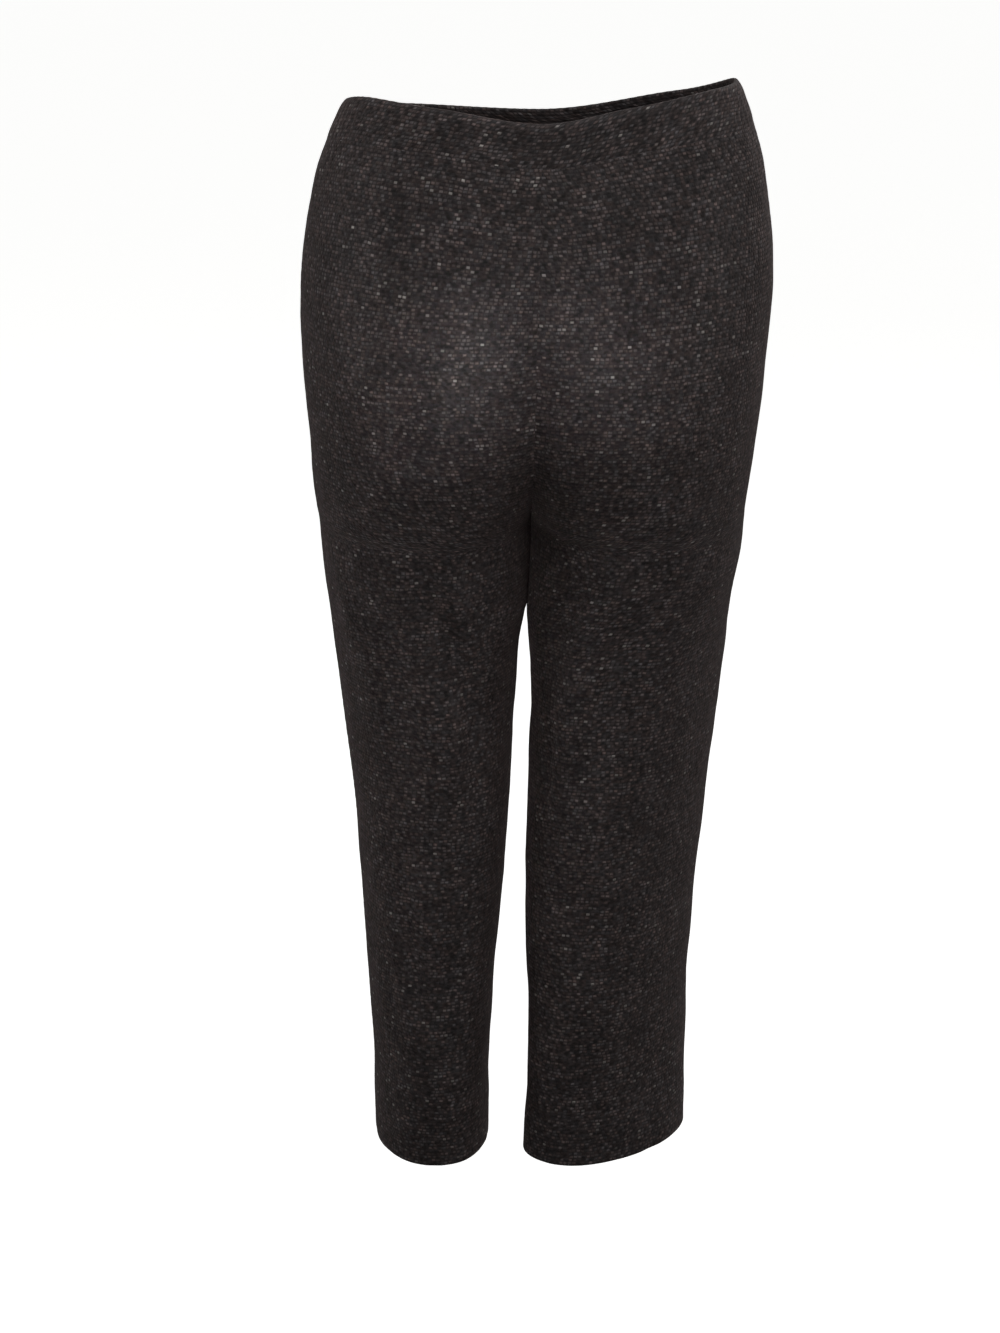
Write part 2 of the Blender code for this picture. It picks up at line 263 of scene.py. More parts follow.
inmost = {side: inmost_of(side) for side in (LEFT, RIGHT)}
middle_line = (inmost[LEFT] + inmost[RIGHT]) / 2
half_gap = (inmost[LEFT] - inmost[RIGHT]) / 2
hard = PRESSED_IN * smoothstep((levels - levels[0]) / PRESSED_BELOW)
held_flat = {}
for name, (side, facing) in PANELS.items():
    across, drop = worn[name][:, :, 0], -worn[name][:, :, 2]
    to_middle, to_inmost, press = (
        np.interp(drop, levels, values) for values in (middle_line, half_gap, hard)
    )
    from_middle = side * (across - to_middle)
    below_crotch = drop > levels[0]
    touching = smoothstep((PARTED + PARTING - drop) / PARTING) * below_crotch
    held_flat[name] = touching * smoothstep(1 - (from_middle - to_inmost) / FLATTENED)
    pushed = from_middle - (to_inmost + press) * held_flat[name]
    # What would pass the middle lies flat along it, with a soft bend on either side.
    bend = press / 2 + WELD
    flat_against = np.where(pushed > bend, pushed, np.maximum(pushed + bend, 0) ** 2 / (4 * bend))
    across[below_crotch] = (to_middle + side * (flat_against + SEAM_LEFT_OPEN))[below_crotch]

# Each inner edge is drawn to the line it shares with its mate: the centre seam above the crotch,
# the inseam below it, and at the crotch one point for all four.
DRAWN_IN = 0.008  # how far from the edge the cloth gives
edges = {name: grid[:, -1].copy() for name, grid in worn.items()}
for name, (side, facing) in PANELS.items():
    shared = (edges[name] + edges[name_of(-side, facing)]) / 2
    shared[CROTCH_ROW:] = (edges[name] + edges[name_of(side, -facing)])[CROTCH_ROW:] / 2
    shared[CROTCH_ROW] = np.mean([edge[CROTCH_ROW] for edge in edges.values()], axis=0)
    to_seam = shared - edges[name]
    distance = np.linalg.norm(to_seam, axis=1, keepdims=True)
    move = to_seam * np.maximum(1 - SEAM_LEFT_OPEN / np.maximum(distance, WELD), 0)
    along_row = lengths_along(worn[name], 1)
    give = smoothstep(1 - (along_row[:, -1:] - along_row) / DRAWN_IN)
    worn[name] += move[:, None] * give[:, :, None]
worn_normals = {
    name: normals_of(worn[name], -side * facing) for name, (side, facing) in PANELS.items()
}


def seam_normals(side, facing, inner):
    """Outward directions along a panel's inner or side edge, halfway to the piece it is sewn to."""
    column = -1 if inner else 0
    mate = worn_normals[name_of(side, -facing)][:, column].copy()
    if inner:
        mate[:CROTCH_ROW] = worn_normals[name_of(-side, facing)][:CROTCH_ROW, column]
    halfway = worn_normals[name_of(side, facing)][:, column] + mate
    for _ in range(SEAM_SMOOTHINGS):
        halfway[1:-1] = (halfway[:-2] + 2 * halfway[1:-1] + halfway[2:]) / 4
    return unit(halfway)


# ---------------------------------------------------------------------------------------------
# Glitter knit: a weft-knitted jersey of black viscose with a flat metallic yarn laid along some
# of its courses, brushed very slightly. It looks a warm charcoal, matt and grainy, because each
# stretch of yarn is a little lighter or darker than the next, the low gaps between the stretches
# are painted darker as shade, and a few stretches glint.
COURSE = 0.0027  # m, one knitted row. The real rows are about 1 mm and too fine to show
STRETCH = 0.0036  # m, one visible stretch of yarn along a row, coarse for the same reason
WAVER, WAVER_SIZE = 0.0016, 0.018  # m, how far the rows waver, and over what length
YARN_WARM, YARN_COOL = "403634", "3a3738"  # it was dyed unevenly, from one stretch to the next
DARKEST, LIGHTEST = 0.40, 2.4  # stretches of yarn, beside the mean
FEW_LIGHT = 1.5  # the higher, the fewer of them are light
# Painted shade: the low gaps between the raised stretches are given this darker tone.
GAP_PAINTED_SHADE = 0.62  # what shows between the stretches
FULL_ALONG, FULL_ACROSS = 0.20, 0.12  # a dash is at its full strength this near its middle
YARN_ROUGHNESS, LUREX_ROUGHNESS = 0.78, 0.32
SHEEN, SHEEN_TINT = 0.28, "94827f"  # the brushed fibre ends catch the light along the outline
LUREX = "a39d98"
GLINTING = 0.10  # the share of stretches that glint at all
FEW_BRIGHT = 6.5  # the higher, the fewer of them glint brightly
FLUFF = 0.0045  # m, lighter and darker tufts of the brushed yarn
FLUFF_HEIGHT = 0.75 * FLUFF
FLUFF_DARK, FLUFF_LIGHT = 0.5, 1.5
PATCH = 0.030  # m, soft lighter and darker patches
PATCH_DARK, PATCH_LIGHT = 0.7, 1.3
DASH_RELIEF = 0.001  # m
DASH_RISE, DASH_LEAN = 0.30, 2.0  # shares of that relief: each dash's middle, and from end to end


def linear(colour):
    """An sRGB hex colour as linear RGBA."""
    parts = [int(colour[i:i + 2], 16) / 255 for i in (0, 2, 4)]
    return (*((p / 12.92 if p <= 0.04045 else ((p + 0.055) / 1.055) ** 2.4) for p in parts), 1.0)


def add(tree, kind, inputs=(), **settings):
    """Adds a node with its settings. Each input, by place or name, gets a value or what feeds it:
    an output, or a node for its first output."""
    made = tree.nodes.new("ShaderNode" + kind)
    for setting, value in settings.items():
        setattr(made, setting, value)
    for place, value in inputs.items() if isinstance(inputs, dict) else enumerate(inputs):
        if isinstance(value, bpy.types.Node):
            value = value.outputs[0]
        if isinstance(value, bpy.types.NodeSocket):
            tree.links.new(value, made.inputs[place])
        else:
            made.inputs[place].default_value = value
    return made


def glitter_knit(name, shade, glinting, shine):
    """One side of the knit, by how light its yarn is, what share of it glints and how it shines."""
    material = bpy.data.materials.new(name)
    material.use_nodes = True
    tree = material.node_tree
    shader = tree.nodes["Principled BSDF"]

    # Which course a point lies on, and which stretch of yarn along it. Each course starts its
    # stretches somewhere else.
    cloth = add(tree, "UVMap", uv_map="cloth")
    along, straight_down, _ = add(tree, "SeparateXYZ", (cloth,)).outputs
    wavering = add(
        tree, "TexNoise", {"Vector": cloth, "Scale": 1 / WAVER_SIZE, "Detail": 1.0}, noise_dimensions="2D"
    )
    down = add(tree, "Math", (wavering, WAVER, straight_down), operation="MULTIPLY_ADD")
    courses = add(tree, "Math", (down, COURSE), operation="DIVIDE")
    course = add(tree, "Math", (courses,), operation="FLOOR")
    start = add(tree, "TexWhiteNoise", {"W": course}, noise_dimensions="1D").outputs["Value"]
    stretches = add(tree, "Math", (along, 1 / STRETCH, start), operation="MULTIPLY_ADD")
    stretch = add(tree, "Math", (stretches,), operation="FLOOR")
    key = add(tree, "CombineXYZ", (stretch, course))
    chance = add(tree, "TexWhiteNoise", {"Vector": key}, noise_dimensions="2D").outputs["Color"]
    lightness, strength, tilt = add(tree, "SeparateColor", (chance,)).outputs

    # Seen close, a stretch is a soft dash in the middle of its course.
    offsets, strengths = [], []
    for counted, full in ((stretches, FULL_ALONG), (courses, FULL_ACROSS)):
        passed = add(tree, "Math", (counted,), operation="FRACT")
        offsets.append(add(tree, "Math", (passed, 0.5), operation="SUBTRACT"))
        away = add(tree, "Math", (offsets[-1],), operation="ABSOLUTE")
        strengths.append(add(
            tree, "MapRange", {"Value": away, "From Min": 0.5, "From Max": full},
            interpolation_type="SMOOTHSTEP",
        ))
    dash = add(tree, "Math", strengths, operation="MULTIPLY")
    chosen = add(tree, "MapRange", {"Value": strength, "From Min": 1 - glinting})
    brightness = add(tree, "Math", (chosen, FEW_BRIGHT), operation="POWER")
    glint = add(tree, "Math", (dash, brightness), operation="MULTIPLY")

    # The yarn's colour, lighter or darker by the stretch, by the tuft and in broad soft patches, with
    # painted shade that darkens the low gaps between the dashes.
    skewed = add(tree, "Math", (lightness, FEW_LIGHT), operation="POWER")
    stretch_tone = add(
        tree, "MapRange", {"Value": skewed, "To Min": DARKEST - GAP_PAINTED_SHADE, "To Max": LIGHTEST - GAP_PAINTED_SHADE}
    )
    stretch_tone_and_gap_shade = add(tree, "Math", (stretch_tone, dash, GAP_PAINTED_SHADE), operation="MULTIPLY_ADD")
    tufts_along = add(tree, "Math", (along, FLUFF), operation="DIVIDE")
    tufts_down = add(tree, "Math", (down, FLUFF_HEIGHT), operation="DIVIDE")
    tufts = add(tree, "CombineXYZ", (tufts_along, tufts_down))
    fluff = add(
        tree, "TexNoise", {"Vector": tufts, "Scale": 1.0, "Detail": 1.0}, noise_dimensions="2D"
    )
    fluff_tone = add(
        tree, "MapRange",
        {"Value": fluff, "From Min": 0.3, "From Max": 0.7, "To Min": FLUFF_DARK, "To Max": FLUFF_LIGHT},
    )
    patches = add(
        tree, "TexNoise", {"Vector": cloth, "Scale": 1 / PATCH, "Detail": 2.0, "Roughness": 0.65},
        noise_dimensions="2D",
    )
    patch_tone = add(
        tree, "MapRange",
        {"Value": patches, "From Min": 0.25, "From Max": 0.75,
         "To Min": PATCH_DARK * shade, "To Max": PATCH_LIGHT * shade},
    )
    grain_and_gap_shade = add(tree, "Math", (stretch_tone_and_gap_shade, fluff_tone), operation="MULTIPLY")
    tone = add(tree, "Math", (grain_and_gap_shade, patch_tone), operation="MULTIPLY")
    dye = add(
        tree, "Mix", {"Factor": tilt, "A": linear(YARN_WARM), "B": linear(YARN_COOL)}, data_type="RGBA"
    )
    yarn = add(tree, "VectorMath", {0: dye.outputs["Result"], "Scale": tone}, operation="SCALE")
    colour = add(tree, "Mix", {"Factor": glint, "A": yarn, "B": linear(LUREX)}, data_type="RGBA")
    polish = add(
        tree, "MapRange",
        {"Value": glint, "From Max": 0.5, "To Min": YARN_ROUGHNESS, "To Max": LUREX_ROUGHNESS},
    )
    tree.links.new(colour.outputs["Result"], shader.inputs["Base Color"])
    tree.links.new(glint.outputs[0], shader.inputs["Metallic"])
    tree.links.new(polish.outputs[0], shader.inputs["Roughness"])

    # A dash stands out a little and leans its own way, so the glints catch different lights.
    leaning = add(tree, "Math", (tilt, 0.5), operation="SUBTRACT")
    lean = add(tree, "Math", (leaning, offsets[0]), operation="MULTIPLY")
    rise = add(tree, "Math", (lean, DASH_LEAN, DASH_RISE), operation="MULTIPLY_ADD")
    height = add(tree, "Math", (dash, rise), operation="MULTIPLY")
    bump = add(tree, "Bump", {"Height": height, "Strength": 1.0, "Distance": DASH_RELIEF})
    tree.links.new(bump.outputs[0], shader.inputs["Normal"])
    shader.inputs["Sheen Weight"].default_value = SHEEN
    shader.inputs["Sheen Roughness"].default_value = 0.5
    shader.inputs["Sheen Tint"].default_value = linear(SHEEN_TINT)
    shader.inputs["IOR"].default_value = 1.5
    shader.inputs["Specular IOR Level"].default_value = 0.2
    # The flat yarn is smooth in the lie of the cloth, so all of it has a faint soft shine.
    shader.inputs["Coat Weight"].default_value = shine
    shader.inputs["Coat Roughness"].default_value = 0.45
    return material


knit_face = glitter_knit("glitter_knit_face", shade=1.0, glinting=GLINTING, shine=0.12)
knit_back = glitter_knit("glitter_knit_wrong_side", shade=0.8, glinting=GLINTING / 4, shine=0.05)

# ---------------------------------------------------------------------------------------------
# Back panels: one for each leg, covering the seat and the back of the leg. Each is cut from a
# single layer of the knit, sewn at the side, the centre back and the inseam, and turned up 28 mm
# inside at the hem. The cloth hangs off the seat and drags a little towards the crotch.
CLOTH_THICKNESS = 0.0011
CUT_ALLOWANCE = 0.010
FROM_CUT_TO_CUT = 0.61  # between the middles of two panels where they are cut from the roll
HEM_DEPTH = 0.028
HEM_FOLD_STEPS = 7
CREASE_ANGLE = math.radians(55)  # a sharper edge of the cloth is shaded as an edge
BACK_COLUMNS = 80  # closely spaced columns between the rolled edges

# Finer folds, by how far from the side seam and how high each end lies, and how far each stands
# out and half its width, in millimetres.
FOLD_COLUMNS = ("side_top", "side_bottom", "top", "bottom", "out", "reach")
BACK_LEFT_FOLDS = (
    (187, 167, -280, -440, 1.8, 7),
    (150, 121, -395, -600, 3.1, 13),
    (173, 152, -415, -575, -2.8, 9),
    (118, 100, -360, -560, -2.0, 10),
    (70, 82, -330, -520, 1.7, 14),
    (101, 104, -585, -705, 2.1, 9),
    (83, 96, -640, -735, -2.0, 7),
    (124, 116, -620, -760, -1.7, 8),
    (60, 70, -640, -800, -1.4, 9),
    (104, 96, -730, -825, 1.4, 8),
)
BACK_RIGHT_FOLDS = (
    (224, 200, -318, -400, -1.4, 6),
    (174, 130, -375, -475, 2.4, 8),
    (162, 126, -440, -590, -2.5, 8),
    (142, 96, -290, -450, 2.0, 15),
    (120, 84, -400, -560, -2.0, 9),
    (92, 76, -520, -640, 2.2, 10),
    (76, 51, -590, -700, 2.1, 8),
    (43, 54, -625, -715, -2.0, 7),
    (84, 66, -700, -790, -1.8, 8),
    (62, 54, -790, -842, -1.1, 7),
)
FOLD_TAPER = 1.5  # how gently a fold dies out at its ends
SEAT_DIP = 0.0028  # how far the centre back seam draws the cloth in between the hips
SEAT_DIP_REACH = 0.030
SEAT_DIP_MIDDLE, SEAT_DIP_LENGTH = -0.200, 0.085


def read_at(values, grid, at):
    """Values given along each row of a grid, at the distances given from its first column."""
    return np.array([
        [np.interp(places, row_along, row[:, k]) for k in range(values.shape[-1])]
        for row, row_along, places in zip(values, lengths_along(grid, 1), at)
    ]).swapaxes(1, 2)


def unevenness(across, down, size, seed, waves=14):
    """A soft irregular height of about 1 at most, whose bumps are about this size."""
    random = np.random.default_rng(seed)
    total = np.zeros_like(across)
    for _ in range(waves):
        direction, phase = random.uniform(0, 2 * math.pi, 2)
        length = 2 * size * random.uniform(0.7, 1.5)
        distance = across * math.cos(direction) + down * math.sin(direction)
        total += np.sin(distance * 2 * math.pi / length + phase)
    return total / math.sqrt(2 * waves)


def fold_heights(folds, from_side, height):
    """How far each point of a panel stands out because of its finer folds."""
    total = np.zeros_like(height)
    for fold in folds:
        row = dict(zip(FOLD_COLUMNS, fold))
        top, bottom = row["top"] / 1000, row["bottom"] / 1000
        down = np.clip((top - height) / (top - bottom), 0, 1)
        middle = row["side_top"] + (row["side_bottom"] - row["side_top"]) * down
        away = (from_side * 1000 - middle) / row["reach"]
        total += row["out"] / 1000 * np.sin(math.pi * down) ** FOLD_TAPER * np.exp(-(away**2))
    return total


# How unevenly the cloth lies: how high, how long the bumps are across the leg, and that length as
# a share of their length down the leg.
UNEVEN_LAYERS = ((0.00055, 0.045, 1.0), (0.00022, 0.014, 0.6), (0.00010, 0.006, 0.5))
SEAM_HOLDS = 0.014  # how far from a seam the cloth is free of it
GATHER = 0.0115  # from one gather under the waistband to the next
GATHER_HEIGHT = 0.00042
GATHERS_STRAY, STRAY_SIZE = 2.2, 0.030  # radians, and over what length
GATHERS_VARY, VARY_SIZE = 0.3, 0.05  # the share of their height, and over what length
GATHERS_FADE = 0.042
SEAM_PUCKER = 0.0095  # from one pucker along a seam to the next
PUCKER_HEIGHT, PUCKER_REACH = 0.00013, 0.007
PUCKERS_STRAY, STRAY_PACE = 1.5, 70  # radians, and how fast that comes and goes down the seam
HEM_DRAWN_IN = 0.0010
HEM_DRAWN_FROM = 1.3 * HEM_DEPTH  # above the hem edge
HEM_STITCH = 0.0085  # one blind stitch of the hem, as it is sewn
STITCH_EASE = 0.015  # a drawn-in hem brings the stitches closer by a radian over this length
STITCH_DIP, STITCH_WIDTH = 0.00028, 0.0016
STITCH_VARIES = 0.4  # the share of its depth
STITCH_BELOW = 0.003  # how far below the hem's raw edge the stitches run
HEM_WAVE, HEM_WAVE_SIZE, HEM_WAVE_TOP = 0.0007, 0.030, 0.09
HELD_AT_EDGE = 0.008  # how far from a seam gathers lie flat, and everything from the waist seam
HELD_AT_CROTCH = 0.012


def surface_heights(name, folds, from_side, from_centre, height, down, seed):
    """Everything that lifts or dips a panel's cloth from its worn shape, in metres."""
    seat = np.zeros_like(height)
    if PANELS[name][1] == BACK:
        seat = np.exp(-((from_centre / SEAT_DIP_REACH) ** 2))
        seat *= np.exp(-(((height - SEAT_DIP_MIDDLE) / SEAT_DIP_LENGTH) ** 2))
    # A seam holds the cloth flat beside it, so folds die out towards it.
    from_seam = np.minimum(from_side, from_centre)
    free = smoothstep(from_seam / SEAM_HOLDS)
    lifted = free * fold_heights(folds, from_side, height) - SEAT_DIP * seat
    for k, (lift, size, squeeze) in enumerate(UNEVEN_LAYERS):
        lifted += free * lift * unevenness(from_side, down * squeeze, size, seed + k)
    # The elastic gathers the waist into small uneven tucks, which fade below it.
    stray = unevenness(from_side, down, STRAY_SIZE, seed + 3) * GATHERS_STRAY
    gathers = np.cos(from_side * 2 * math.pi / GATHER + stray)
    varied = 1 - GATHERS_VARY + GATHERS_VARY * unevenness(from_side, down, VARY_SIZE, seed + 4)
    fading = np.exp(-down / GATHERS_FADE) * varied
    lifted += GATHER_HEIGHT * gathers * fading * smoothstep(from_seam / HELD_AT_EDGE)
    # A seam puckers slightly along its length.
    stray = PUCKERS_STRAY * np.sin(down * STRAY_PACE)
    puckers = np.cos(down * 2 * math.pi / SEAM_PUCKER + stray)
    lifted += PUCKER_HEIGHT * puckers * np.exp(-from_seam / PUCKER_REACH)
    # The hem is double and held by stitches, so it draws in a little below a faint line.
    above_hem = CLOTH_LENGTH - down
    lifted -= HEM_DRAWN_IN * smoothstep((HEM_DRAWN_FROM - above_hem) / HEM_DRAWN_FROM)
    along_hem = from_side * 2 * math.pi / HEM_STITCH + from_side / STITCH_EASE
    stitches = 1 - STITCH_VARIES + STITCH_VARIES * np.cos(along_hem)
    from_stitches = above_hem - HEM_DEPTH + STITCH_BELOW
    lifted -= STITCH_DIP * stitches * np.exp(-((from_stitches / STITCH_WIDTH) ** 2))
    waviness = unevenness(from_side, np.zeros_like(down), HEM_WAVE_SIZE, seed + 5)
    lifted += free * HEM_WAVE * waviness * smoothstep((HEM_WAVE_TOP - above_hem) / HEM_WAVE_TOP)
    # The waistband's seam holds the top edge.
    return lifted * smoothstep(down / HELD_AT_EDGE)


def cloth_piece(name, grid, cloth_uv, outwards, thickness, materials):
    """A sheet from a grid of points, made solid inwards, with its cloth coordinates in metres."""
    rows, columns = grid.shape[:2]
    index = np.arange(rows * columns).reshape(rows, columns)
    corners = [index[:-1, :-1], index[1:, :-1], index[1:, 1:], index[:-1, 1:]]
    faces = np.stack(corners if outwards < 0 else corners[::-1], axis=-1).reshape(-1, 4)
    mesh = bpy.data.meshes.new(name)
    mesh.from_pydata(grid.reshape(-1, 3).tolist(), [], faces.tolist())
    layer = mesh.uv_layers.new(name="cloth")
    layer.data.foreach_set("uv", cloth_uv.reshape(-1, 2)[faces.ravel()].ravel())
    for material in materials:
        mesh.materials.append(material)
    piece = bpy.data.objects.new(name, mesh)
    scene.collection.objects.link(piece)
    wall = piece.modifiers.new("cloth", "SOLIDIFY")
    wall.thickness = thickness
    wall.offset = -1
    wall.material_offset = 1 if len(materials) > 1 else 0
    bpy.context.view_layer.update()
    graph = bpy.context.evaluated_depsgraph_get()
    solid = bpy.data.meshes.new_from_object(piece.evaluated_get(graph))
    piece.modifiers.clear()
    piece.data = solid
    bpy.data.meshes.remove(mesh)
    solid.name = name
    solid.shade_smooth()
    solid.set_sharp_from_angle(angle=CREASE_ANGLE)
    return piece


finished = {}  # each panel's face as it lies, from the waist seam to the hem, for what is sewn on


def make_panel(name, columns, folds, seed):
    """One panel with its rolled seam edges, its folds and its turned-up hem."""
    side, facing = PANELS[name]
    rows = worn[name]
    whole = lengths_along(rows, 1)[:, -1]
    share = np.linspace(0, 1, columns)
    middle = SEAM_ROLL + share[None, :] * (whole[:, None] - 2 * SEAM_ROLL)
    edge = np.broadcast_to(ROLL_AWAY[:-1], (len(rows), ROLL_STEPS))
    from_side = np.hstack([edge, middle, whole[:, None] - edge[:, ::-1]])
    from_centre = whole[:, None] - from_side
    flat = read_at(rows, rows, from_side)
    reach = SEAM_CLEARANCE - SEAM_LEFT_OPEN
    flat[:, 0] += reach * unit(flat[:, 0] - flat[:, ROLL_STEPS])
    flat[0] += reach * unit(flat[0] - flat[ROLL_STEPS])
    normals = unit(read_at(worn_normals[name], rows, from_side))
    down = np.broadcast_to(row_at[:, None], from_side.shape)
    free = 1 - read_at(held_flat[name][:, :, None], rows, from_side)[:, :, 0]
    # The four panels meet at the crotch, and their seams hold the cloth still round it.
    free *= smoothstep(np.hypot(from_centre, down - row_at[CROTCH_ROW]) / HELD_AT_CROTCH)
    lifted = free * surface_heights(name, folds, from_side, from_centre, flat[:, :, 2], down, seed)

    # Near an edge the cloth turns towards the seam, along the direction it shares with its mate.
    out = normals.copy()
    for distance, inner in ((from_side, False), (from_centre, True)):
        near = np.clip(1 - distance / TURN_REACH, 0, 1)[:, :, None]
        out = unit(out * (1 - near) + seam_normals(side, facing, inner)[:, None] * near)
    # The edges roll in, but an inner one not where the thighs hold it flat.
    dip = np.zeros_like(lifted)
    for k, depth in enumerate(ROLL_DEPTH[:-1]):
        dip[:, k] += depth
        dip[:, -1 - k] += depth * free[:, -1 - k]
    seam_rolled = flat + out * (lifted - dip)[:, :, None]
    finished[name] = flat + out * lifted[:, :, None]

    # The hem: round the fold, then up the inside for its depth.
    turn = np.linspace(0, math.pi, HEM_FOLD_STEPS + 1)[1:]
    last = finished[name][-1]
    straight_down = unit(last - finished[name][-3])
    folded = [
        last
        + straight_down * HEM_FOLD * math.sin(angle)
        - out[-1] * (HEM_FOLD * (1 - math.cos(angle)) + (dip[-1] * max(math.cos(angle), 0))[:, None])
        for angle in turn
    ]
    hem_rows = round(HEM_DEPTH / ROW_SPACING)
    turned_up = (finished[name] - out * 2 * HEM_FOLD)[-2:-2 - hem_rows:-1]
    grid = np.concatenate([seam_rolled, folded, turned_up])

    # Cloth coordinates: along the courses from the middle of the panel, and down the wales. Each
    # panel is cut from its own place on the roll.
    cut_at = list(PANELS).index(name) * FROM_CUT_TO_CUT
    along = side * (from_side - whole[:, None] / 2) + cut_at
    fold_down = row_at[-1] + HEM_FOLD * turn
    up_down = fold_down[-1] + ROW_SPACING * np.arange(1, hem_rows + 1)
    along = np.concatenate([along, np.repeat(along[-1:], len(turn) + hem_rows, axis=0)])
    downs = np.concatenate([row_at, fold_down, up_down])
    cloth_uv = np.stack([along, np.broadcast_to(downs[:, None], along.shape)], axis=-1)
    piece = cloth_piece(
        "knit_" + name, grid, cloth_uv, -side * facing, CLOTH_THICKNESS, [knit_face, knit_back]
    )
    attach(piece, "root")
    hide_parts(name)

    # Its cut: as wide as it is worn, with an allowance at each edge, and a hem below.
    widths = whole + 2 * CUT_ALLOWANCE
    area = (widths[1:] + widths[:-1]) / 2 @ np.diff(row_at)
    area += widths[0] * CUT_ALLOWANCE + widths[-1] * HEM_DEPTH
    return piece


panels = {
    "back_left": make_panel("back_left", BACK_COLUMNS, BACK_LEFT_FOLDS, seed=11),
    "back_right": make_panel("back_right", BACK_COLUMNS, BACK_RIGHT_FOLDS, seed=23),
}

# ---------------------------------------------------------------------------------------------
# Front panels: narrower than the back ones and cut in the same way, with a plain centre front
# seam and no opening. Soft folds fan out from the crotch, and a few hang down each leg.
FRONT_COLUMNS = 66
FRONT_LEFT_FOLDS = (
    (96, 168, -205, -282, -0.9, 13),
    (120, 176, -262, -318, 0.8, 11),
    (88, 70, -330, -470, -1.0, 9),
    (60, 74, -520, -660, 0.9, 10),
    (112, 100, -640, -790, -0.9, 8),
)
FRONT_RIGHT_FOLDS = (
    (104, 172, -215, -290, -0.9, 12),
    (70, 150, -245, -315, 0.7, 14),
    (78, 96, -360, -520, -1.1, 9),
    (120, 104, -500, -640, 0.9, 9),
    (66, 58, -660, -820, -1.0, 8),
)
panels["front_left"] = make_panel("front_left", FRONT_COLUMNS, FRONT_LEFT_FOLDS, seed=37)
panels["front_right"] = make_panel("front_right", FRONT_COLUMNS, FRONT_RIGHT_FOLDS, seed=51)

# ---------------------------------------------------------------------------------------------
# Seam allowances: inside each seam the two raw edges lie together, pressed towards one panel, and
# run down to the top of the turned-up hem. They are the panels' own knit, wrong side out.
ALLOWANCE = 0.008  # what is left of the cut allowance beyond the seam
LAYERS_APART = 0.0003  # between layers of cloth that lie on each other
ALLOWANCE_THICKNESS = 0.0017
UNDER_ROLL = 1.5 * SEAM_DIP  # how much deeper a strip lies at the seam, clear of the rolled edges
ON_PANEL = np.linspace(0, ALLOWANCE, 6)  # columns of a strip, from the seam
UNDER_MATE = np.array([0.0018])  # and one on the seam's other side
BAND_CLEARANCE = 0.0075  # from the waist seam, so that a strip starts below the band's raw edge
HEM_CLEARANCE = 0.004  # and from the hem's raw edge, where it ends
FIRST_ROW = int(np.searchsorted(row_at, BAND_CLEARANCE))
HEM_ROW = int(np.searchsorted(row_at, CLOTH_LENGTH - HEM_DEPTH - HEM_CLEARANCE))
# Round the crotch the allowances are trimmed away, because four seams meet there.
ABOVE_CROTCH, BELOW_CROTCH = CROTCH_ROW - 6, CROTCH_ROW + 5

raw_edges = {}  # by strip: its raw edge, the way into the cloth, and the way out of the garment


def seam_strip(name, on, mate, inner, first, last):
    """The allowances of one seam, from row to row, on the inside of the panel they lie on."""
    parts = []
    for panel, columns in ((mate, UNDER_MATE), (on, ON_PANEL)):
        side, facing = PANELS[panel]
        face, out = finished[panel], normals_of(finished[panel], -side * facing)
        if inner:
            face, out = face[:, ::-1], out[:, ::-1]
        face, out = face[first:last], out[first:last]
        at = np.broadcast_to(columns, (len(face), len(columns)))
        depth = CLOTH_THICKNESS + LAYERS_APART + UNDER_ROLL * np.exp(-((columns / SEAM_ROLL) ** 2))
        out_at = unit(read_at(out, face, at))
        parts.append((read_at(face, face, at) - out_at * depth[:, None], out_at))
    grid, out = (np.hstack([under[:, ::-1], over]) for under, over in zip(*parts))
    from_seam = np.concatenate([ON_PANEL[:1], ON_PANEL])
    cloth_uv = np.stack(np.meshgrid(from_seam, row_at[first:last]), axis=-1)
    side, facing = PANELS[on]
    turned = side * facing if inner else -side * facing
    strip = cloth_piece(name, grid, cloth_uv, turned, ALLOWANCE_THICKNESS, [knit_back, knit_back])
    strip.parent = panels[on]
    middle = grid[:, -1] - out[:, -1] * ALLOWANCE_THICKNESS / 2
    raw_edges[name] = (on, middle, unit(grid[:, -2] - grid[:, -1]), out[:, -1])


for leg in ("left", "right"):
    seam_strip("side_seam_" + leg, "back_" + leg, "front_" + leg, False, FIRST_ROW, HEM_ROW)
    seam_strip("inseam_" + leg, "back_" + leg, "front_" + leg, True, BELOW_CROTCH, HEM_ROW)
seam_strip("centre_back_seam", "back_left", "back_right", True, FIRST_ROW, ABOVE_CROTCH)
seam_strip("centre_front_seam", "front_left", "front_right", True, FIRST_ROW, ABOVE_CROTCH)

# ---------------------------------------------------------------------------------------------
# Overlocking: black spun polyester thread wrapped over every raw edge inside, stitch after
# stitch. It looks a little smoother and darker than the knit, with a fine twist.
STITCH = 0.0028  # from one stitch to the next
BITE = 0.0040  # how far from the edge the needle goes in
THREAD = 0.00022  # radius, drawn a little thick so that it shows
THREAD_SIDES = 5
PLY_TWIST = 0.0011  # one turn of the thread's plies
# Painted shade between the plies and painted light on them, following the twist's bumps.
PLY_PAINTED_SHADE, PLY_PAINTED_LIGHT = "141212", "2c2828"  # between the plies, and on them

